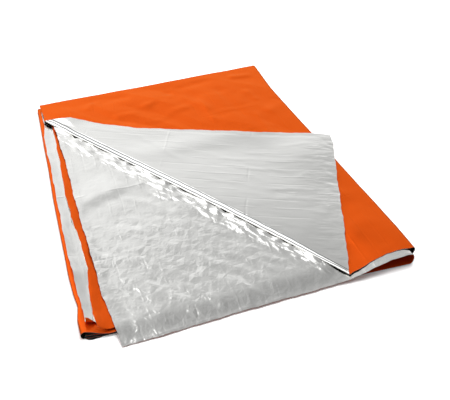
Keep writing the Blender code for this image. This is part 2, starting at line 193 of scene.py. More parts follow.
# Creases that the film keeps from its packing, each from one place to another on its own layer. Pack folds
# run front to back about 48 mm apart, cross folds every quarter of the depth; the rest are chance wrinkles.
CREASE = "x0 y0 x1 y1 width height"
SILVER_CREASES = in_mm(
    CREASE,
    (269, 190, 277, 87, 8, 0.7), (277, 90, 277, -20, 8, 0.8), (229, 200, 228, 90, 8, 0.7),
    (228, 95, 224, -20, 8, 0.8), (178, 310, 178, 140, 8, 0.6), (180, 150, 179, -20, 8, 0.7),
    (131, 260, 133, 30, 8, 0.6), (318, 100, 322, -20, 8, 0.7), (78, 420, 80, 230, 6, 0.3),
    (79, 263, 83, 119, 8, 0.2), (83, 125, 85, -20, 8, 0.3), (92, 110, 94, -20, 3.7, -0.3),
    (9, 330, 15, 97, 4.5, 0.4), (15, 110, 20, -20, 4.5, 0.4), (22, 105, 36, 10, 5.3, -0.5),
    (30, 305, 110, 332, 6, -0.5), (110, 356, 165, 350, 8, 0.7), (98, 236, 137, 220, 6, 0.5),
    (130, 222, 166, 226, 5.3, 0.5), (132, 240, 186, 256, 5.3, 0.5), (14, 162, 30, 128, 4.5, -0.4),
    (100, 176, 182, 172, 6, 0.5), (30, 186, 82, 147, 6, 0.5), (120, 72, 180, 92, 6, 0.5),
    (60, 38, 138, 46, 5.3, 0.5), (55, 212, 102, 222, 5.3, -0.4), (200, 200, 258, 216, 5.3, 0.5),
    (248, 212, 282, 225, 4.5, 0.4), (358, 105, 366, 38, 5.3, 0.4), (195, 130, 250, 146, 5.3, 0.5),
    (240, 168, 300, 176, 5.3, 0.4), (190, 52, 262, 62, 5.3, 0.4), (290, 62, 346, 70, 4.5, 0.3),
    (30, 270, 70, 288, 4.5, 0.4), (120, 118, 168, 124, 4.5, 0.4), (40, 105, 90, 120, 4.5, 0.4),
    (45, 430, 85, 446, 4.5, 0.4), (110, 300, 150, 290, 4.5, 0.4), (85, 20, 150, 12, 4.5, 0.4),
)
# A strip of the same layer that was pressed flat on its slant: it rises from its front line to a fold behind.
PRESSED_STRIP = in_mm(CREASE, (2, 302, 132, 346, 22, 2.6))[0]
STRIP_SINK = 0.060           # how far beyond its fold it has sunk again

# On the turned corner, as places on the flat film, before it is turned.
TURNED_CREASES = in_mm(
    CREASE,
    (19, 400, 19, 160, 4.3, -0.4), (18, 170, 12, -10, 4.3, -0.5), (57, 125, 41, 45, 3.8, 0.5),
    (58, 60, 50, -5, 3.8, 0.4), (107, 250, 103, 150, 4.3, 0.4), (104, 165, 104, 30, 4.3, 0.5),
    (82, 200, 83, 100, 4.3, 0.4), (130, 260, 138, 80, 4.3, 0.5), (127, 262, 136, 196, 3.8, -0.4),
    (196, 150, 192, 20, 4.3, 0.5), (176, 70, 172, 15, 3.8, -0.4), (143, 40, 142, -5, 3.8, 0.4),
    (160, 85, 134, 46, 3.8, 0.5), (205, 125, 200, 80, 3.8, -0.4), (223, 130, 218, 30, 4.3, 0.5),
    (178, 265, 184, 190, 4.3, 0.4), (100, 80, 96, 15, 3.8, -0.4), (292, 105, 303, 60, 4.3, 0.3),
    (228, 36, 250, 20, 4.3, 0.7), (246, 24, 280, 4, 4.3, -0.6), (286, 22, 284, -4, 4.3, -0.9),
    (190, 24, 214, 12, 4.3, 0.5), (84, 22, 214, 10, 4.3, 0.4), (160, 24, 176, 6, 3.8, -0.5),
    (8, 458, 138, 291, 7.6, 0.4), (290, 138, 368, 24, 5.9, 0.4),
)

# On the top layer: these are soft.
ORANGE_CREASES = in_mm(
    CREASE,
    (204, 606, 306, 650, 12.8, 1.5), (122, 664, 205, 668, 9.6, -1), (94, 640, 114, 672, 8, 1),
    (228, 600, 306, 666, 11.2, -1.4), (298, 662, 412, 676, 11.2, -1.4), (447, 520, 446, 400, 7.2, 0.9),
    (504, 556, 528, 526, 5.6, -1.8), (466, 498, 532, 522, 14.4, 1.6), (448, 134, 462, 62, 18, 1),
    (470, 90, 432, 62, 16, 0.8), (456, 86, 478, -4, 14, 0.8), (440, 674, 512, 662, 8.8, 1.6),
    (460, 612, 474, 546, 9.6, 1), (136, 594, 210, 598, 9.6, 1), (349, 612, 352, 490, 9.6, 1),
    (493, 230, 498, 60, 9.6, 0.8), (300, 640, 366, 540, 12.8, 1.4), (400, 660, 420, 480, 11.2, -1),
    (240, 560, 330, 590, 9.6, 0.9),
)

# Gathers in the silver layer where the roll's nose presses on it: share of the way along the ridge, lean,
# which is a share too, how far out they reach, half width and height.
GATHERS = in_mm(
    "share lean reach width height",
    (65, 100, 30, 4, 2), (110, 500, 26, 5, 2.4), (150, 300, 40, 6, 3), (180, 650, 46, 5, 2.6),
    (215, 200, 34, 6, 3), (250, 900, 38, 5, 2.6), (290, 350, 36, 7, 3), (345, 100, 40, 6, 2.4),
    (385, 800, 50, 5, 3.2), (430, 400, 36, 8, 2.8), (485, 700, 30, 7, 3), (540, 300, 36, 8, 2.6),
    (590, 950, 32, 5, 3), (630, 600, 38, 6, 3.2), (675, 1100, 34, 5, 3), (715, 700, 30, 6, 3),
    (755, 1200, 32, 5, 3), (795, 900, 36, 6, 2.8), (840, 1300, 30, 5, 2.6), (885, 1000, 26, 5, 2),
    (930, 1200, 20, 4, 1.4),
)
GATHER_HEIGHT = 0.45         # share of a gather's height that is left once the layer lies bunched
BUNCH_HEIGHT = 0.0046        # how high the layer is bunched at the roll
BUNCH_RADII = 0.60           # how much higher, in the roll's radii
BUNCH_SPREAD = 0.030         # how far out from the ridge it is bunched
BUNCH_WIDENING = 0.016       # how much further towards the ridge's left end

# Crumple as flat facets: how high, how long and wide, how they are turned, and the seed of their draw.
Facets = namedtuple("Facets", "height along across turn seed")
ORANGE_FACETS = (Facets(0.00170, 0.085, 0.050, -0.5, 3), Facets(0.00045, 0.034, 0.024, 0.4, 5))
TURNED_FACETS = (Facets(0.00012, 0.013, 0.060, 0.05, 7),)
TURNED_EDGE_FACETS = (Facets(0.00055, 0.016, 0.014, -0.4, 9),)
SILVER_FACETS = (Facets(0.00110, 0.034, 0.024, -0.38, 11), Facets(0.00040, 0.022, 0.014, -0.2, 13))
BUNCH_FACETS = (Facets(0.0014, 0.013, 0.0095, 0.6, 17), Facets(0.0011, 0.0075, 0.0055, 0.3, 19))
FACET_CORNERS = 61           # corners each way that are drawn, before the draw repeats


def ease(t):
    """A step from 0 to 1 with level ends."""
    t = np.clip(t, 0.0, 1.0)
    return t * t * (3.0 - 2.0 * t)


def fade(value, none, full):
    """A smooth step of a value, from 0 where it is `none` to 1 where it is `full`."""
    return ease((value - none) / (full - none))


def read(table, key, value, at):
    """A table's value column at the places `at` of its key column, straight between rows."""
    return np.interp(at, [getattr(row, key) for row in table], [getattr(row, value) for row in table])


def swells(table, x, y):
    """Height of a table of broad swells: each a bell, height * exp(-(dx / along)^2 - (dy / across)^2)."""
    height = np.zeros_like(x)
    for s in table:
        height += s.height * np.exp(-((x - s.x) / s.along) ** 2 - ((y - s.y) / s.across) ** 2)
    return height


def line_place(c, x, y):
    """A place by a crease's line: how far along it, how far off it to the right, and the line's length."""
    length = math.hypot(c.x1 - c.x0, c.y1 - c.y0)
    ux, uy = (c.x1 - c.x0) / length, (c.y1 - c.y0) / length
    return (x - c.x0) * ux + (y - c.y0) * uy, (x - c.x0) * uy - (y - c.y0) * ux, length


def ends(along, length, share):
    """A smooth step from 0 at a line's two ends to 1 over a share of its length."""
    return ease(along / (share * length)) * ease((length - along) / (share * length))


def creases(table, x, y, soft=False):
    """Height of a table of creases. Each is pinched along a line that wavers a little to either side, with
    height * (1 - distance / width)^1.4, twice as wide on one side, and fades in over a quarter of its length.
    A soft one is straight and round, with height * exp(-(distance / width)^2)."""
    height = np.zeros_like(x)
    for c in table:
        along, off, length = line_place(c, x, y)
        if soft:
            profile = np.exp(-(off / c.width) ** 2)
        else:
            off = off + 0.0012 * np.sin(along / 0.0110 + 90 * c.x0)
            off = off + 0.0006 * np.sin(along / 0.0041 + 70 * c.y0)
            off = np.where(off > 0, off * 0.5, off)
            profile = np.maximum(1.0 - np.abs(off) / c.width, 0.0) ** 1.4
        height += c.height * profile * ends(along, length, 0.25)
    return height


def pressed(strip, x, y):
    """Height of a strip that rises evenly from its line to a fold, its width behind, and sinks slowly beyond
    that. Its line wavers, and it fades at its ends."""
    along, off, length = line_place(strip, x, y)
    back = 0.0015 * np.sin(along / 0.013) - off
    across = np.minimum(back / strip.width, 1.0 - (back - strip.width) / STRIP_SINK)
    return strip.height * np.clip(across, 0.0, 1.0) * ends(along, length, 0.30)


def facets(f, x, y):
    """Crumpled film as flat facets: heights from -1 to 1 drawn for the corners of a slanted grid, straight
    between the corners, on ground that is bent so no two cells match."""
    c, s = math.cos(f.turn), math.sin(f.turn)
    p = (x * c + y * s) / f.along
    q = (y * c - x * s) / f.across
    p, q = p + 0.34 * np.sin(1.9 * q + f.seed) + 0.5 * q, q + 0.30 * np.sin(2.3 * p + 2.1 * f.seed)
    i, j = np.floor(p).astype(int), np.floor(q).astype(int)
    p, q = p - i, q - j
    draw = np.random.default_rng(f.seed).uniform(-1.0, 1.0, (FACET_CORNERS, FACET_CORNERS))
    a, b, d, e = [
        draw[(i + right) % FACET_CORNERS, (j + up) % FACET_CORNERS] for up in (0, 1) for right in (0, 1)
    ]
    lower = a + p * (b - a) + q * (d - a)
    upper = e + (1.0 - p) * (d - e) + (1.0 - q) * (b - e)
    return np.where(p + q < 1.0, lower, upper)


def crumpled(table, x, y):
    """Height of a table of facets."""
    return sum(f.height * facets(f, x, y) for f in table)


def ridge_place(x, y):
    """A place by the ridge: how far along it, and how far out from it towards the corner."""
    return line_place(RIDGE_LINE, x, y)[:2]


def roll_radius(along):
    """The roll's radius at a place along the ridge."""
    return read(RIDGE, "share", "radius", along / RIDGE_LENGTH)


def orange_relief(x, y):
    """The top layer's own relief: broad soft facets and its creases, quieter at its edges."""
    out = ridge_place(x, y)[1]
    quiet = fade(out, -0.004, -0.034) * (0.35 + 0.65 * fade(y, DEPTH, DEPTH - 0.030))
    quiet = quiet * (0.30 + 0.70 * fade(x, 0.520, 0.480)) * (0.4 + 0.6 * fade(y, 0.0, 0.040))
    return (crumpled(ORANGE_FACETS, x, y) + creases(ORANGE_CREASES, x, y, soft=True)) * quiet


def turned_relief(x, y):
    """The turned corner's relief, by place on the flat film: long facets along its pack folds, creases, and
    small facets along its front edge. Both edges stand up a little. Height is to its silver side."""
    relief = crumpled(TURNED_FACETS, x, y) + crumpled(TURNED_EDGE_FACETS, x, y) * fade(y, 0.045, 0.015)
    relief = relief + creases(TURNED_CREASES, x, y) * (0.4 + 0.6 * fade(y, 0.010, 0.050))
    left_lift = LEFT_LIFT * fade(x, 0.080, 0.0) * (0.2 + 0.8 * fade(y, 0.040, 0.140))
    front_lift = FRONT_LIFT * fade(y, 0.140, 0.0) * fade(x, 0.230, 0.070)
    return relief + left_lift + front_lift


def bunched(along, out):
    """Height of the second layer where the roll has bunched it up, by place along and out from the ridge: a
    hump that comes and goes along the roll and falls away in front of it, in sharp small facets."""
    held = ease(along / 0.03) * ease((RIDGE_LENGTH - along) / 0.06) * fade(out, -0.005, 0.0)
    spread = BUNCH_SPREAD + BUNCH_WIDENING * ease((0.70 * RIDGE_LENGTH - along) / 0.20)
    bunch = 0.76 + 0.24 * np.sin(along / 0.0074 + 1.8 * np.sin(along / 0.019) - 55.0 * np.maximum(out, 0.0))
    bunch = bunch + (0.75 - bunch) * ease(out / 0.020)
    hump = np.maximum(1.0 - out / (1.1 * spread), 0.0) ** 1.2 * (0.40 + 0.60 * fade(out, -0.001, 0.0035))
    rise = (BUNCH_HEIGHT + BUNCH_RADII * roll_radius(along)) * bunch * hump
    near = (1.0 - ease((out - 0.35 * spread) / (0.75 * spread))) * fade(out, -0.001, 0.003)
    return (rise + near * crumpled(BUNCH_FACETS, along, out)) * held


def silver_relief(x, y):
    """The second layer's relief: crumple, creases and the bunched and gathered film at the ridge, fading
    where it is hidden. The crumple is liveliest in front, away from the left edge and the right end."""
    along, out = ridge_place(x, y)
    lively = 0.30 + 0.85 * fade(y, 0.370, 0.250)
    lively = lively * (0.45 + 0.55 * fade(x, 0.030, 0.080)) * (1.0 - 0.45 * fade(x, 0.220, 0.340))
    wave = np.sin(x / 0.019 + 1.6 * np.sin(y / 0.033)) * np.sin(y / 0.023 + 1.2 * np.sin(x / 0.04))
    relief = crumpled(SILVER_FACETS, x, y) * lively * (0.75 + 0.25 * wave)
    relief = relief + creases(SILVER_CREASES, x, y) + pressed(PRESSED_STRIP, x, y)
    relief = relief + bunched(along, out)
    before = np.maximum(out, 0.0)
    for g in GATHERS:
        off = along - g.share * RIDGE_LENGTH - g.lean * before
        pinch = np.maximum(1.0 - np.abs(off) / (g.width * (0.6 + 12.0 * before)), 0.0) ** 1.5
        pinch = pinch * fade(out, g.reach, 0.0) * fade(out, -0.012, -0.002)
        relief = relief + GATHER_HEIGHT * g.height * pinch
    return relief * fade(out, -0.020, 0.0)


def height(layer, x, y):
    """Mid-height of a layer at a place: its level in the stack, with the arch, the droop and the bulge."""
    pitch = PITCH_FRONT + (PITCH_BACK - PITCH_FRONT) * ease(y / PITCH_RUN)
    z = (STACK_FLOOR if layer < 8 else FILM / 2) + (8 - layer) * pitch
    if layer <= 2:
        rise = read(FRONT_RISE, "x", NAMES[layer], x) - (STACK_FLOOR + (8 - layer) * PITCH_FRONT)
        arch = 1.0 - ease((y - FRONT_LINE) / ARCH_RUN)
        fall = np.clip((y - FRONT_LINE) / DROOP_RUN, 0.0, 1.0)
        z = z + rise * np.where(rise > 0, arch, 1.0 - 0.5 * (fall + ease(fall)))
    if layer in (1, 3, 4):
        z = z + swells({1: TOP_SWELLS, 3: THIRD_SWELLS, 4: FOURTH_SWELLS}[layer], x, y)
    if layer <= 5:
        z = z + BULGE.height * np.exp(-((x - BULGE.x) / BULGE.spread) ** 2) * (1.0 - ease(y / BULGE.run))
    return z


def turn_corner(x, y):
    """Fold the top layer's front left corner back over the ridge: new x, y and z. The film runs up the roll's
    section, scaled to the ridge's radius there, and then down to lie on the layer."""
    ux, uy = RIDGE_WAY / RIDGE_LENGTH
    along, out = ridge_place(x, y)
    radius = roll_radius(along)
    start = out + radius
    beyond = np.maximum(start - SECTION_RUN[-1] * radius, 0.0)
    section_out, lift = [radius * np.interp(start / radius, SECTION_RUN, line) for line in ROLL_SECTION.T]
    place = np.where(start < 0, out, section_out - beyond)
    lift = lift + (FLAP_GAP - ROLL_SECTION[-1, 1] * radius) * ease(beyond / FLAP_SETTLE)
    px = RIDGE_LINE.x0 + along * ux + place * uy
    py = RIDGE_LINE.y0 + along * uy - place * ux
    z = height(1, np.minimum(px, WIDTH), py) + lift + swells(FLAP_SWELLS, px, py) * ease(beyond / 0.02)
    z = z + turned_relief(x, y) * ease(beyond / 0.012) + orange_relief(x, y) * (start < 0)
    return px, py, z


def ragged(s, seed):
    """A cut edge's fine unevenness at a place along it: three sines, about a millimetre in all."""
    edge = 0.0006 * np.sin(s / 0.0130 + seed) + 0.0004 * np.sin(s / 0.0052 + 2 * seed)
    return edge + 0.0003 * np.sin(s / 0.0027)


def left_edge(layer, y):
    """Where a layer's film starts at the left: at its free edge, or at the bend that layers 5 to 8 share."""
    if layer <= 4:
        return read(LEFT_EDGES, "y", NAMES[layer], y) + ragged(y, layer)
    bend = read(LEFT_EDGES, "y", "bend", y)
    depth = read(LEFT_EDGES, "y", "depth", y)
    return bend + depth + (PITCH_BACK / 2 if layer in (6, 7) else 0.0)


def right_edge(layer, y):
    """Where a layer's film meets the bend at the right."""
    film = "outer" if layer in (1, 8) else "inner"
    bend = read(RIGHT_BEND, "y", film, y) - read(RIGHT_BEND, "y", film + "_depth", y)
    return bend - (INNER_SETBACK if 3 <= layer <= 6 else 0.0)


def top_point(q, w):
    """Place of the top layer's film, whose corner is turned back."""
    y = DEPTH * (1.0 - w)
    x = RUN * q
    x = x + (right_edge(1, y) - RUN) * ease((x - RIDGE_LINE.x1) / (RUN - RIDGE_LINE.x1))
    y = y + (read(FRONT_EDGES, "x", "back", x) - DEPTH) * ease(y / DEPTH)
    inset_left = (read(TURNED_LEFT, "y", "inset", y) + ragged(y, 1)) * (1.0 - ease(RUN * q / EDGE_RUN))
    inset_front = (read(TURNED_FRONT, "x", "inset", x) + ragged(x, 2)) * (1.0 - ease(y / EDGE_RUN))
    return np.stack(turn_corner(x + inset_left, y + inset_front), axis=-1)


def layer_point(layer, q, w):
    """Place of a layer's film. q runs 0 to 1 from the left edge to the bend, w 0 to 1 from the back fold to
    the front edge."""
    if layer == 1:
        return top_point(q, w)
    y = DEPTH * (1.0 - w)
    x = left_edge(layer, y) * (1.0 - q) + right_edge(layer, y) * q
    back = read(FRONT_EDGES, "x", "back", x)
    y = back + (read(FRONT_EDGES, "x", NAMES[layer], x) + ragged(x, 3 + layer) * 0.7 - back) * w
    z = height(layer, x, y)
    if layer in (2, 3, 4):
        lift = read(EDGE_LIFTS, "y", NAMES[layer], y) * (1.0 + 0.25 * np.sin(y / 0.0170 + layer))
        run = LIFT_RUN if layer == 2 else LOWER_LIFT_RUN
        z = z + lift * (1.0 - ease((x - left_edge(layer, y)) / run))
    if layer == 2:
        z = z + silver_relief(x, y) * ease((DEPTH - y) / 0.03)
    if layer == 4:
        edge = y - read(FRONT_EDGES, "x", "fourth", x)
        rolled = 1.0 - ease((x - ROLL.full) / (ROLL.none - ROLL.full))
        taken_up = np.maximum(ROLL.length - edge, 0.0)
        angle = taken_up / ROLL.radius * rolled
        y = np.where(angle > 0, y + taken_up - ROLL.radius * np.sin(angle), y)
        z = z + ROLL.radius * (1.0 - np.cos(angle))
    return np.stack([x, y, z], axis=-1)


def bend_point(upper, lower, side, turn, w):
    """Place on the bend that joins two layers at one side, turn 0 to 1 from the upper to the lower layer:
    half an ellipse between the layers' ends, as deep as the bend's table says."""
    edge = np.full_like(w, 1.0 if side > 0 else 0.0)
    a = layer_point(upper, edge, w)
    b = layer_point(lower, edge, w)
    depth = (a[:, 2] - b[:, 2]) / 2
    if (upper, lower) == (1, 8):
        depth = read(RIGHT_BEND, "y", "outer_depth", a[:, 1])
    if (upper, lower) == (2, 7):
        depth = read(RIGHT_BEND, "y", "inner_depth", a[:, 1])
    if (upper, lower) == (5, 8):
        depth = read(LEFT_EDGES, "y", "depth", a[:, 1])
    angle = (math.pi * turn)[:, None]
    point = (a + b) / 2 + (a - b) / 2 * np.cos(angle)
    point[:, 0] += side * depth * np.sin(angle[:, 0])
    return point


def half_point(half, u, w):
    """Place of one half of the sheet, u along the whole sheet from its left free end: four runs with a bend
    between each two. Those that lead back are read from their far end."""
    a, b, c, d = ((1, 8, 5, 4), (2, 7, 6, 3))[half]
    stretches = (
        (RUN, layer_point, (a,), False), (BEND, bend_point, (a, b, 1), False),
        (RUN, layer_point, (b,), True), (SMALL_BEND, bend_point, (c, b, -1), True),
        (RUN, layer_point, (c,), False), (SMALL_BEND, bend_point, (d, c, 1), True),
        (RUN, layer_point, (d,), True),
    )
    point = np.zeros((len(u), 3))
    start = 0.0
    for length, place, layers, back in stretches:
        here = (u >= start - 1e-6) & (u <= start + length + 1e-6)
        share = np.clip((u[here] - start) / length, 0.0, 1.0)
        point[here] = place(*layers, 1.0 - share if back else share, w[here])
        start += length
    return point


def fold_sheet(u, v):
    """Fold the flat sheet: u along it, v across it from the first half's front edge. The halves meet in the
    back fold, half an ellipse between them."""
    first = half_point(0, u, np.clip(1.0 - v / DEPTH, 0.0, 1.0))
    second = half_point(1, u, np.clip((v - DEPTH - TURN) / DEPTH, 0.0, 1.0))
    angle = (math.pi * np.clip((v - DEPTH) / TURN, 0.0, 1.0))[:, None]
    fold = (first + second) / 2 + (first - second) / 2 * np.cos(angle)
    fold[:, 1] += PITCH_BACK / 2 * np.sin(angle[:, 0])
    return np.where((v < DEPTH)[:, None], first, np.where((v > DEPTH + TURN)[:, None], second, fold))


# The flat sheet's grid. Over the top run its cells have their diagonals along the ridge, and are drawn in
# towards the roll, where the film bends most. The hidden runs have half the rows and few columns.
RIDGE_CELLS = 120
CELL_X, CELL_Y = np.abs(RIDGE_WAY) / RIDGE_CELLS
RIGHT_CELLS = 26             # columns between the ridge's front end and the right bend
BEND_CELLS, SMALL_BEND_CELLS, TURN_CELLS = 8, 5, 4
HIDDEN_COLUMNS = (0.0, 0.004, 0.008, 0.013, 0.019, 0.026, 0.034, 0.044, 0.06, 0.1, 0.2, 0.35, 0.47, RUN)
CROWDING = in_mm("even drawn", (-37.5, -37.5), (-11.6, -8), (64, 13), (105, 40), (337.4, 337.4))
HIDDEN_CROWDING = 0.35       # how strongly the hidden rows gather at the front edges


def crowd(x, y):
    """Draw places of the even grid in towards the ridge. A place at one distance out from the ridge goes to
    the distance that the table gives, along the front edge where it is near that, and along the left edge
    likewise."""
    ux, uy = RIDGE_WAY / RIDGE_LENGTH
    out = ridge_place(x, y)[1]
    drawn = read(CROWDING, "even", "drawn", out) - out
    drawn = np.where((out < CROWDING[0].even) | (out > CROWDING[-1].even), 0.0, drawn)
    share = x / np.maximum(x + y, 1e-6)
    return x + share * drawn / uy, y - (1.0 - share) * drawn / ux


def flat_grid():
    """The flat sheet as triangles: places u and v, and the corners of each triangle."""
    columns = list(np.arange(RIDGE_CELLS + 1) * CELL_X)
    columns += list(np.linspace(columns[-1], RUN, RIGHT_CELLS + 1)[1:])
    depth_rows = list(np.arange(int(DEPTH / CELL_Y) + 1) * CELL_Y) + [DEPTH]
    width = 2 * DEPTH + TURN
    rows = np.array(
        depth_rows + list(np.linspace(DEPTH, DEPTH + TURN, TURN_CELLS + 1)[1:-1])
        + [width - y for y in reversed(depth_rows)]
    )
    u, v = np.meshgrid(columns, rows)
    front = np.where(v <= DEPTH, v, width - v)
    on_layers = (v <= DEPTH) | (v >= DEPTH + TURN)
    x, y = crowd(u, front)
    u = np.where(on_layers, x, u)
    v = np.where(on_layers, np.where(v <= DEPTH, y, width - y), v)

    hidden_back = [RUN - x for x in reversed(HIDDEN_COLUMNS)]
    bend = np.linspace(0.0, BEND, BEND_CELLS + 1)
    small_bend = np.linspace(0.0, SMALL_BEND, SMALL_BEND_CELLS + 1)
    hidden = [RUN]
    for run in (bend, hidden_back, small_bend, HIDDEN_COLUMNS, small_bend, hidden_back):
        hidden += [hidden[-1] + x for x in run[1:]]
    hu, hv = np.meshgrid(hidden[1:], rows[::2])
    power = 1.0 + HIDDEN_CROWDING * ease((hu - RUN - BEND) / 0.4)
    front = np.where(hv <= DEPTH, hv, width - hv)
    drawn = DEPTH * (front / DEPTH) ** power
    hv = np.where(hv < DEPTH, drawn, np.where(hv > DEPTH + TURN, width - drawn, hv))

    shown = np.arange(u.size).reshape(u.shape)
    under = u.size + np.arange(hu.size).reshape(hu.shape)
    a, b, c, d = shown[:-1, :-1], shown[:-1, 1:], shown[1:, 1:], shown[1:, :-1]
    first_half = (np.arange(a.shape[0]) < len(depth_rows))[:, None] & np.ones(a.shape, bool)
    triangles = [(a, b, np.where(first_half, d, c)), (np.where(first_half, b, a), c, d)]
    a, b, c, d = under[:-1, :-1], under[:-1, 1:], under[1:, 1:], under[1:, :-1]
    triangles += [(a, b, c), (a, c, d)]
    edge, next_edge = shown[:, -1], under[:, 0]
    low, middle, top = edge[:-2:2], edge[1:-1:2], edge[2::2]
    near, far = next_edge[:-1], next_edge[1:]
    triangles += [(low, near, middle), (middle, near, far), (middle, far, top)]
    corners = np.concatenate([np.stack(three, axis=-1).reshape(-1, 3) for three in triangles])
    return np.concatenate([u.ravel(), hu.ravel()]), np.concatenate([v.ravel(), hv.ravel()]), corners


GRAIN_SLANT = 0.38           # turn of the second half's fine wrinkles
GRAIN_STRETCH = 0.35         # how much slower the first half's pattern runs along its wrinkles


def grain_place(u, v):
    """Places turned so that the first axis runs along the film's fine wrinkles: along the pack folds on the
    half that is turned back, where they are long, and across them at a slant on the other half."""
    first_half = v < DEPTH + TURN / 2
    turn = np.where(first_half, math.pi / 2, GRAIN_SLANT)
    along = u * np.cos(turn) + v * np.sin(turn)
    return np.where(first_half, GRAIN_STRETCH * along, along), v * np.cos(turn) - u * np.sin(turn)


def roll_place(u, v):
    """Places by the roll: metres along the ridge, and film run from the start of its section, in radii. Film
    that isn't in the top layer gets -9."""
    along, out = ridge_place(u, v)
    radius = roll_radius(along)
    top = (u < RUN) & (v < DEPTH)
    return np.where(top, along, 0.0), np.where(top, (out + radius) / radius, -9.0)


def slack_at(u, v):
    """How slack the film is, 0 to 1, which sets how far its fine crumple stands: the turned corner is smooth
    but for its far edge, the roll is taut, and the second layer is liveliest towards its front."""
    out = ridge_place(u, v)[1]
    turned = 0.16 + 0.80 * fade(v, 0.080, 0.025)
    roll = 0.10 + fade(np.abs(out - 0.003), 0.010, 0.020)
    corner = np.where(out > -0.009, np.minimum(turned, roll), 0.40)
    second = 0.25 + 0.75 * fade(2 * DEPTH + TURN - v, 0.340, 0.200) - 0.30 * fade(u, 0.200, 0.340)
    return np.where(u > RUN, 0.5, np.where(v < DEPTH, corner, second))


flat_u, flat_v, film_faces = flat_grid()
folded = fold_sheet(flat_u, flat_v) - np.array([*MIDDLE, 0.0])
film_mesh = bpy.data.meshes.new("foil_blanket_film")
film_mesh.from_pydata(folded, [], film_faces)
film_mesh.shade_smooth()
corners = np.zeros(len(film_mesh.loops), np.int32)
film_mesh.loops.foreach_get("vertex_index", corners)
for uv_name, first, second in (
    ("flat_metres", flat_u, flat_v), ("grain_metres", *grain_place(flat_u, flat_v)),
    ("roll_place", *roll_place(flat_u, flat_v)),
):
    uv_map = film_mesh.uv_layers.new(name=uv_name)
    uv_map.data.foreach_set("uv", np.stack([first[corners], second[corners]], axis=-1).ravel())
film_mesh.attributes.new("slack", "FLOAT", "POINT").data.foreach_set("value", slack_at(flat_u, flat_v))
sides = np.sort(film_faces[:, [0, 1, 1, 2, 2, 0]].reshape(-1, 2), axis=1)
pairs, uses = np.unique(sides, axis=0, return_counts=True)
cut_edges = pairs[uses == 1]
edge_ends = np.zeros(2 * len(film_mesh.edges), np.int32)
film_mesh.edges.foreach_get("vertices", edge_ends)
edge_ends = np.sort(edge_ends.reshape(-1, 2), axis=1)
is_cut = np.isin(edge_ends @ [len(folded), 1], cut_edges @ [len(folded), 1])
film_mesh.attributes.new("sharp_edge", "BOOLEAN", "EDGE").data.foreach_set("value", is_cut)
film = add_object("foil_film", film_mesh)


def feed(tree, node, values):
    """Give a node's sockets their values: another node's output is linked, and anything else is set."""
    for socket, value in values.items():
        if isinstance(value, bpy.types.NodeSocket):
            tree.links.new(value, node.inputs[socket])
        else:
            node.inputs[socket].default_value = value


def add_node(tree, kind, place, *feeds, **values):
    """A node in a tree. Feeds go to its sockets in turn, and values to the settings or sockets they name."""
    node = tree.nodes.new(kind)
    node.location = place
    for name in [name for name in values if hasattr(node, name)]:
        setattr(node, name, values.pop(name))
    feed(tree, node, {**dict(enumerate(feeds)), **values})
    return node


def combine(tree, operation, place, *feeds):
    """The result of a math node."""
    return add_node(tree, "ShaderNodeMath", place, *feeds, operation=operation).outputs[0]


def smooth_step(tree, place, value, low, high, bottom=0.0, top=1.0):
    """A smooth step of a value: `bottom` where it is `low`, and `top` where it is `high`."""
    step = add_node(tree, "ShaderNodeMapRange", place, value, low, high, bottom, top)
    step.interpolation_type = "SMOOTHSTEP"
    return step.outputs[0]


def noise(tree, place, at, scale, detail=2.0):
    """Soft noise over a place, or along a number: its outputs."""
    over_place = at.type == "VECTOR"
    node = add_node(tree, "ShaderNodeTexNoise", place, Scale=scale, Detail=detail)
    node.noise_dimensions = "2D" if over_place else "1D"
    tree.links.new(at, node.inputs["Vector" if over_place else "W"])
    return node.outputs


def height_group(name, **sizes):
    """A node group that works out a height from a place and from named sizes, with the value each starts at.
    Gives the group and its inputs as the nodes inside see them."""
    group = bpy.data.node_groups.new(name, "ShaderNodeTree")
    group.interface.new_socket("Place", in_out="INPUT", socket_type="NodeSocketVector")
    for size, value in sizes.items():
        socket = group.interface.new_socket(size, in_out="INPUT", socket_type="NodeSocketFloat")
        socket.default_value = value
    group.interface.new_socket("Height", in_out="OUTPUT", socket_type="NodeSocketFloat")
    return group, add_node(group, "NodeGroupInput", (-1400, 0)).outputs


# Fine crumple at two sizes: how much finer each is than the first, and its share of the depth.
OCTAVES = ((1.0, 1.0), (2.3, 0.30))
OCTAVE_SHIFT = (1.7, 3.4)    # metres that each size's pattern is moved from the last one's
BENDING = 0.006              # how far the pattern is bent
BENDING_SIZE = 0.45          # cells of the bending, for each cell of the crumple
DENTS = 0.45                 # share of the cells that are dents, not roofs


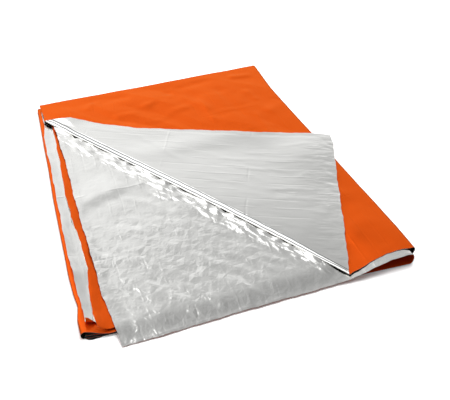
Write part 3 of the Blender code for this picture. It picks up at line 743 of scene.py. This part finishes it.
def crumple_group():
    """Fine crumple of thin film, shared by both faces: flat facets at two sizes, each cell of a bent pattern
    a low roof of its own height, up or down. Its height goes to a bump."""
    group, given = height_group("film_crumple", Size=60.0, Slack=1.0)
    sway_scale = combine(group, "MULTIPLY", (-1200, -300), given["Size"], BENDING_SIZE)
    sway = noise(group, (-1000, -300), given["Place"], sway_scale, detail=1.0)["Color"]
    bending = (BENDING, BENDING, 0.0)
    bent = add_node(
        group, "ShaderNodeVectorMath", (-800, 0), sway, bending, given["Place"], operation="MULTIPLY_ADD"
    )
    total = 0.0
    for number, (finer, share) in enumerate(OCTAVES):
        level = 600 * number
        shift = (OCTAVE_SHIFT[0] * number, OCTAVE_SHIFT[1] * number, 0.0)
        place = add_node(
            group, "ShaderNodeVectorMath", (-600, level + 150), bent.outputs[0], shift, operation="ADD"
        ).outputs[0]
        size = combine(group, "MULTIPLY", (-600, level), given["Size"], finer)
        cell, edge = [
            add_node(
                group, "ShaderNodeTexVoronoi", (-400, level), voronoi_dimensions="2D", feature=feature,
                Vector=place, Scale=size,
            ) for feature in ("F1", "DISTANCE_TO_EDGE")
        ]
        lot = add_node(group, "ShaderNodeSeparateColor", (-200, level), cell.outputs["Color"])
        height = combine(group, "SUBTRACT", (-50, level), lot.outputs["Red"], DENTS)
        height = combine(group, "MULTIPLY", (50, level), height, 2 * share)
        roof = combine(group, "MULTIPLY", (200, level), height, edge.outputs["Distance"])
        total = combine(group, "ADD", (350, level), total, roof)
    height = combine(group, "MULTIPLY", (500, 0), total, given["Slack"])
    add_node(group, "NodeGroupOutput", (700, 0), Height=height)
    return group


# Lines that the pack's folds leave: the axis they lie across and the one they run along, their spacing, the
# first one's place, their half width, and their strength.
PackFolds = namedtuple("PackFolds", "across along spacing first width strength")
PACK_FOLDS = (PackFolds("X", "Y", 0.024, 0.011, 0.0028, 1.0), PackFolds("Y", "X", 0.175, 0.0, 0.0035, 1.3))
PACK_WAVER = 0.006           # how far a line wavers to and fro
WAVER_SCALE = 22.0           # how often it wavers, to a metre
PATCH_SCALE = 16.0           # how many patches the lines show in, to a metre
PATCH_EDGE = (0.40, 0.62)    # the cloud's levels where a patch starts and is full
PACK_LINE = 0.00016          # height of a line
PATCH_RISE = 0.5             # height, in lines, of the patches that the lines lie in


def pack_fold_group():
    """Thin lines that the pack's folds leave all over the film, shared by both faces: front to back every
    24 mm, ridges and grooves in turn, and across it at every quarter of the depth. They waver, and show in
    patches."""
    group, given = height_group("pack_folds")
    parts = add_node(group, "ShaderNodeSeparateXYZ", (-1200, 0), given["Place"]).outputs
    total = PATCH_RISE
    for number, folds in enumerate(PACK_FOLDS):
        level = -600 * number
        turn = math.pi / folds.spacing
        waver = noise(group, (-1000, level - 150), parts[folds.along], WAVER_SCALE)["Fac"]
        moved = combine(group, "MULTIPLY_ADD", (-800, level), waver, PACK_WAVER, parts[folds.across])
        start = -turn * (folds.first + PACK_WAVER / 2)
        turns = combine(group, "MULTIPLY_ADD", (-600, level), moved, turn, start)
        near = combine(group, "PINGPONG", (-400, level), turns, math.pi / 2)
        line = add_node(
            group, "ShaderNodeMapRange", (-200, level), near, turn * folds.width, 0.0, 0.0, folds.strength
        ).outputs[0]
        side = combine(group, "COSINE", (-400, level - 200), turns)
        signed = combine(group, "MULTIPLY", (0, level), line, side)
        total = combine(group, "ADD", (200, level), signed, total)
    cloud = noise(group, (-200, 300), given["Place"], PATCH_SCALE, detail=1.0)["Fac"]
    patch = smooth_step(group, (0, 300), cloud, *PATCH_EDGE)
    add_node(group, "NodeGroupOutput", (800, 0), Height=combine(group, "MULTIPLY", (400, 100), total, patch))
    return group


# Both faces: the colour and what it drifts to, the gloss, how many cells of crumple there are to a metre, how
# deep it is, and the places it follows.
Face = namedtuple("Face", "colour drifted metallic roughness crumple_size crumple_depth grain")
ORANGE_FACE = Face(
    (0.75, 0.086, 0.004, 1.0), (0.77, 0.094, 0.005, 1.0), 0.80, 0.335, 21.0, 0.00110, "flat_metres"
)
SILVER_FACE = Face((0.83, 0.83, 0.81, 1.0), (0.85, 0.85, 0.83, 1.0), 1.0, 0.16, 60.0, 0.00122, "grain_metres")
DRIFT_SCALE = 9.0            # clouds of colour and gloss to a metre
ROUGHNESS_DRIFT = 0.05       # how far the roughness goes up and down
FILM_SPECULAR = 0.25
# The orange is a thin lacquer over the metal: yellower at a slant, with a faint gloss of its own.
LACQUER = {"Specular Tint": (1.0, 0.9, 0.35, 1.0), "Coat Weight": 0.06, "Coat Roughness": 0.20}

crumple = crumple_group()
pack_folds = pack_fold_group()


def film_material(name, face):
    """A face of the film: its colour, which drifts a little, its gloss, its crumple and its pack folds.
    Gives the material, its shader and its colour."""
    material = bpy.data.materials.new(name)
    material.use_nodes = True
    tree = material.node_tree
    shader = tree.nodes["Principled BSDF"]
    place = add_node(tree, "ShaderNodeUVMap", (-1100, 0), uv_map="flat_metres").outputs[0]
    grain = add_node(tree, "ShaderNodeUVMap", (-1100, -200), uv_map=face.grain).outputs[0]
    slack = add_node(
        tree, "ShaderNodeAttribute", (-1100, -400), attribute_type="GEOMETRY", attribute_name="slack"
    ).outputs["Fac"]
    wrinkles = add_node(
        tree, "ShaderNodeGroup", (-800, 0),
        node_tree=crumple, Place=grain, Size=face.crumple_size, Slack=slack,
    ).outputs[0]
    lines = add_node(tree, "ShaderNodeGroup", (-800, -300), node_tree=pack_folds, Place=place).outputs[0]
    relief = combine(tree, "MULTIPLY_ADD", (-500, -300), lines, PACK_LINE / face.crumple_depth, wrinkles)
    bump = add_node(
        tree, "ShaderNodeBump", (-300, -300), Height=relief, Distance=face.crumple_depth, Strength=1.0
    )
    cloud = noise(tree, (-800, 300), place, DRIFT_SCALE, detail=3.0)["Fac"]
    colour = add_node(
        tree, "ShaderNodeMix", (-300, 300), data_type="RGBA", Factor=cloud, A=face.colour, B=face.drifted
    ).outputs["Result"]
    low, high = face.roughness - ROUGHNESS_DRIFT, face.roughness + ROUGHNESS_DRIFT
    gloss = add_node(tree, "ShaderNodeMapRange", (-300, 0), cloud, 0.0, 1.0, low, high)
    feed(tree, shader, {
        "Base Color": colour, "Metallic": face.metallic, "Specular IOR Level": FILM_SPECULAR,
        "Roughness": gloss.outputs[0], "Normal": bump.outputs[0],
    })
    return material, shader, colour


# Painted shade on the roll: dark lines along its pressed creases, and a grey band between them near the
# ridge's left end, painted reflections of the dark room that the creases mirror: place as film run in radii,
# half width, strength at the ridge's left end and strength further on.
ShadeLine = namedtuple("ShadeLine", "position width left_strength strength")
PAINTED_SHADE_LINES = (
    ShadeLine(FIRST_CREASE, 0.30, 1.0, 0.9), ShadeLine(SECOND_CREASE, 0.30, 1.0, 0.9),
    ShadeLine((FIRST_CREASE + SECOND_CREASE) / 2, 0.60, 0.40, 0.0),
)
SHADE_LINE_WAVER = 0.30           # how far a line wavers, in radii
SHADE_LINE_WAVER_SCALE = 30.0     # how often it wavers, to a metre
# Colour of the painted shade along the creases.
PAINTED_SHADE_COLOUR = (0.08, 0.085, 0.09, 1.0)
LEFT_END, FURTHER_ON = 0.18, 0.34  # metres along the ridge where one strength gives way to the other


def paint_crease_shade(tree, shader, colour):
    """Paint the dark lines of shade over a face's colour, each where the film run is within its half width.
    """
    place = add_node(tree, "ShaderNodeUVMap", (-1600, 700), uv_map="roll_place").outputs[0]
    parts = add_node(tree, "ShaderNodeSeparateXYZ", (-1400, 700), place).outputs
    uneven = noise(tree, (-1400, 900), parts["X"], SHADE_LINE_WAVER_SCALE)["Fac"]
    run = combine(tree, "MULTIPLY_ADD", (-1200, 900), uneven, SHADE_LINE_WAVER, parts["Y"])
    total = 0.0
    for number, line in enumerate(PAINTED_SHADE_LINES):
        level = 700 - 300 * number
        off = combine(tree, "SUBTRACT", (-1000, level), run, line.position + SHADE_LINE_WAVER / 2)
        distance = combine(tree, "ABSOLUTE", (-850, level), off)
        near = smooth_step(tree, (-700, level), distance, line.width, 0.35 * line.width)
        strength = smooth_step(
            tree, (-700, level - 150), parts["X"], LEFT_END, FURTHER_ON, line.left_strength, line.strength
        )
        here = combine(tree, "MULTIPLY", (-500, level), near, strength)
        total = combine(tree, "MAXIMUM", (-350, level), total, here)
    # The painted shade darkens the face's colour along the lines.
    shaded = add_node(
        tree, "ShaderNodeMix", (-100, 500), data_type="RGBA", Factor=total, A=colour, B=PAINTED_SHADE_COLOUR
    )
    feed(tree, shader, {"Base Color": shaded.outputs["Result"]})


orange_face, orange_shader, _ = film_material("orange_face", ORANGE_FACE)
feed(orange_face.node_tree, orange_shader, LACQUER)
silver_face, silver_shader, silver_colour = film_material("silver_face", SILVER_FACE)
# The silver face gets the painted shade lines along the roll's creases.
paint_crease_shade(silver_face.node_tree, silver_shader, silver_colour)
film_mesh.materials.append(orange_face)
film_mesh.materials.append(silver_face)
thickness = film.modifiers.new("film_thickness", "SOLIDIFY")
thickness.thickness = FILM
thickness.offset = 0.0
thickness.material_offset = 1
thickness.material_offset_rim = 1

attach(film, "root")
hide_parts("foil_blanket")

# ---- Floor and light -----------------------------------------------------------------------------------
# A plain white floor under soft studio light.

FLOOR_REACH = 30.0
FLOOR_COLOUR = (0.92, 0.92, 0.92, 1.0)
FLOOR_ROUGHNESS = 0.9
floor_mesh = bpy.data.meshes.new("floor")
floor_corners = [(FLOOR_REACH * x, FLOOR_REACH * y, 0.0) for x, y in ((-1, -1), (1, -1), (1, 1), (-1, 1))]
floor_mesh.from_pydata(floor_corners, [], [(0, 1, 2, 3)])
paint = bpy.data.materials.new("floor_paint")
paint.use_nodes = True
matt = paint.node_tree.nodes["Principled BSDF"]
feed(paint.node_tree, matt, {"Base Color": FLOOR_COLOUR, "Roughness": FLOOR_ROUGHNESS})
floor_mesh.materials.append(paint)
floor = add_object("floor", floor_mesh)
floor.visible_glossy = False

# A square soft light that lights matt surfaces; the film mirrors the room below instead.
KEY_PLACE = Vector((0.7, 0.6, 2.4))
KEY_SIZE = 1.8
KEY_POWER = 80.0
key = bpy.data.lights.new("key_light", "AREA")
key.size = KEY_SIZE
key.energy = KEY_POWER
key_lamp = add_object("key_light", key)
key_lamp.location = KEY_PLACE
key_lamp.rotation_euler = (-KEY_PLACE).to_track_quat("-Z", "Y").to_euler()
key_lamp.visible_glossy = False

# What the film mirrors: a room that is lightest low at the left and darker overhead and to the right. Its
# brightness goes by how nearly a direction points along its axis, from 0, square to it, to 1.
ROOM_AXIS = (0.500, 0.000, 0.866)
ROOM_SHADES = (
    (0.00, 1.35), (0.40, 1.20), (0.50, 1.06), (0.57, 0.97), (0.61, 0.92), (0.66, 0.86), (0.70, 0.78),
    (0.73, 0.70), (0.76, 0.64), (0.80, 0.59), (0.86, 0.54), (0.92, 0.47), (1.00, 0.35),
)
# Round the foot of the room runs a dark skirting, by how far a direction points up.
UP = (0.0, 0.0, 1.0)
SKIRTING = namedtuple("Skirting", "low high dark")(0.10, 0.22, 0.15)

# Round patches in it: the way to each one's middle, the angles in degrees where it ends and where it is full,
# and the brightness outside and inside. A soft box at the upper left, a weaker one low at the left, and the
# dark behind the camera, which dims the room.
Patch = namedtuple("Patch", "axis end full outside inside")
SOFT_BOX = Patch((-0.355, 0.394, 0.848), 23, 14, 0.0, 1.1)
SIDE_BOX = Patch((-0.754, 0.133, 0.643), 32, 20, 0.0, 0.5)
DARK = Patch((-0.297, -0.713, 0.635), 38, 22, 1.0, 0.12)

world = bpy.data.worlds.new("studio")
bpy.context.scene.world = world
world.use_nodes = True
sky = world.node_tree
way = add_node(sky, "ShaderNodeTexCoord", (-1400, 0)).outputs["Generated"]


def toward(axis, level):
    """How nearly a direction points along an axis: their dot product."""
    dot = add_node(sky, "ShaderNodeVectorMath", (-1200, level), way, axis, operation="DOT_PRODUCT")
    return dot.outputs["Value"]


def patch_light(patch, level):
    """Brightness of a round patch, a smooth step over the cosine of the angle from its middle."""
    end, full = math.cos(math.radians(patch.end)), math.cos(math.radians(patch.full))
    return smooth_step(sky, (-900, level), toward(patch.axis, level), end, full, patch.outside, patch.inside)


room = add_node(sky, "ShaderNodeValToRGB", (-900, 300), toward(ROOM_AXIS, 300))
stops = room.color_ramp.elements
for position, _ in ROOM_SHADES[1:-1]:
    stops.new(position)
for stop, (_, brightness) in zip(stops, ROOM_SHADES):
    stop.color = (*[brightness] * 3, 1.0)
skirting = smooth_step(sky, (-900, -600), toward(UP, -600), SKIRTING.low, SKIRTING.high, SKIRTING.dark)
shut = combine(sky, "MULTIPLY", (-700, -300), patch_light(DARK, -300), skirting)
lamps = combine(sky, "ADD", (-600, 50), patch_light(SOFT_BOX, 0), patch_light(SIDE_BOX, 150))
dimmed = combine(sky, "MULTIPLY", (-500, 100), room.outputs["Color"], shut)
lit = combine(sky, "ADD", (-300, 100), dimmed, lamps)

# Around the floor, where the camera sees past it, the room is plain white.
seen = add_node(sky, "ShaderNodeLightPath", (-500, 400)).outputs["Is Camera Ray"]
strength = combine(sky, "MAXIMUM", (-100, 200), lit, seen)
feed(sky, sky.nodes["Background"], {"Color": (1.0, 1.0, 1.0, 1.0), "Strength": strength})

bpy.context.scene.view_settings.view_transform = "Standard"
